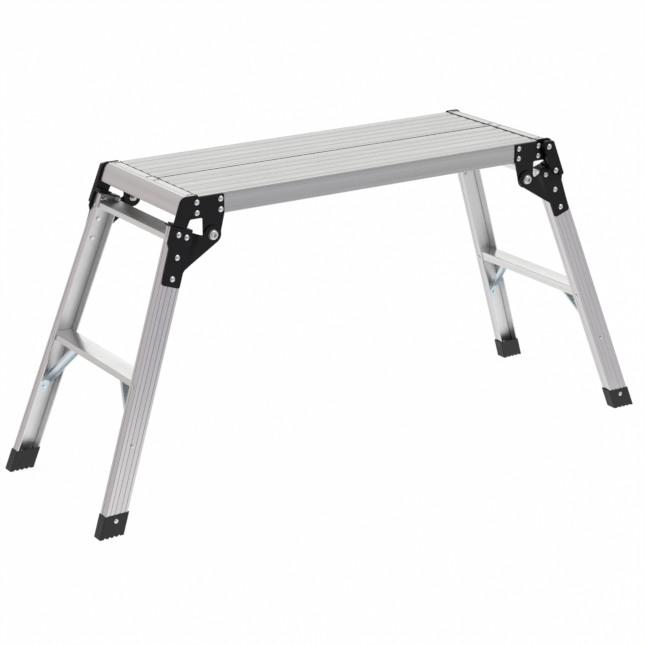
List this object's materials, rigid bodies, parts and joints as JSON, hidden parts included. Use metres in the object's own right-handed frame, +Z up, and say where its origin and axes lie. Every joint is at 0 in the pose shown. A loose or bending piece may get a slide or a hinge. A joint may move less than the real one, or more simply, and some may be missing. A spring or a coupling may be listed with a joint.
{
  "type": "work platform",
  "caption": "Folding aluminium work platform: a long ribbed deck on splayed channel legs with steps, black steel hinge brackets, sprung latches and rubber feet.",
  "frame": {"origin": "on the floor under the middle of the deck, the legs unfolded", "axes": "+X along the deck, +Y across it towards the rear, +Z up"},
  "size_m": [1.2576, 0.4038, 0.5938],
  "materials": {
    "deck_aluminium": "mill finish extrusion with long fine scratches",
    "beam_aluminium": "satin extrusion",
    "leg_aluminium": "satin extrusion with fine grooves along it",
    "tread_aluminium": "bright satin extrusion",
    "bracket_black": "gloss black coating on pressed steel",
    "latch_black": "satin black coating on pressed steel",
    "zinc_steel": "bluish zinc plating",
    "rivet_steel": "bright set rivet",
    "bolt_steel": "zinc plated fastener",
    "spring_steel": "oiled spring wire",
    "foot_rubber": "matt dark grey moulding"
  },
  "bodies": {
    "deck": {"front_board": "deck_aluminium", "rear_board": "deck_aluminium", "left_end_beam": "beam_aluminium", "right_end_beam": "beam_aluminium", "deck_bracket_rivets": "rivet_steel", "front_left_deck_bracket": "bracket_black", "rear_left_deck_bracket": "bracket_black", "left_latch_pin": "bolt_steel", "left_latch_spring": "spring_steel", "left_pivot_bolts": "bolt_steel", "left_pivot_nuts": "bolt_steel", "front_right_deck_bracket": "bracket_black", "rear_right_deck_bracket": "bracket_black", "right_latch_pin": "bolt_steel", "right_latch_spring": "spring_steel", "right_pivot_bolts": "bolt_steel", "right_pivot_nuts": "bolt_steel"},
    "left_leg": {"front_left_stile": "leg_aluminium", "front_left_step_brace": "zinc_steel", "front_left_foot": "foot_rubber", "front_left_leg_bracket": "bracket_black", "rear_left_stile": "leg_aluminium", "rear_left_step_brace": "zinc_steel", "rear_left_foot": "foot_rubber", "rear_left_leg_bracket": "bracket_black", "left_step": "tread_aluminium", "left_top_rung": "tread_aluminium", "left_step_rivets": "rivet_steel", "left_rung_rivets": "rivet_steel", "left_brace_rivets": "rivet_steel", "left_foot_rivets": "rivet_steel", "left_bracket_rivets": "rivet_steel", "left_pivot_bushes": "bolt_steel", "left_catch_pin": "bolt_steel"},
    "right_leg": {"front_right_stile": "leg_aluminium", "front_right_step_brace": "zinc_steel", "front_right_foot": "foot_rubber", "front_right_leg_bracket": "bracket_black", "rear_right_stile": "leg_aluminium", "rear_right_step_brace": "zinc_steel", "rear_right_foot": "foot_rubber", "rear_right_leg_bracket": "bracket_black", "right_step": "tread_aluminium", "right_top_rung": "tread_aluminium", "right_step_rivets": "rivet_steel", "right_rung_rivets": "rivet_steel", "right_brace_rivets": "rivet_steel", "right_foot_rivets": "rivet_steel", "right_bracket_rivets": "rivet_steel", "right_pivot_bushes": "bolt_steel", "right_catch_pin": "bolt_steel"},
    "left_latch": {"left_latch": "latch_black"},
    "right_latch": {"right_latch": "latch_black"}
  },
  "joints": [
    {"name": "left_leg_fold", "type": "hinge", "parent": "deck", "child": "left_leg", "pos_m": [-0.3585, 0, 0.517], "axis": [0, -1, 0], "range_deg": [0, 118]},
    {"name": "right_leg_fold", "type": "hinge", "parent": "deck", "child": "right_leg", "pos_m": [0.3585, 0, 0.517], "axis": [0, 1, 0], "range_deg": [0, 106]},
    {"name": "left_latch_pull", "type": "hinge", "parent": "deck", "child": "left_latch", "pos_m": [-0.40446, 0.16, 0.57905], "axis": [0, 1, 0], "range_deg": [0, 12], "stiffness_Nm_per_rad": 0.4, "springref_deg": -28.65},
    {"name": "right_latch_pull", "type": "hinge", "parent": "deck", "child": "right_latch", "pos_m": [0.40446, -0.16, 0.57905], "axis": [0, -1, 0], "range_deg": [0, 12], "stiffness_Nm_per_rad": 0.4, "springref_deg": -28.65}
  ]
}
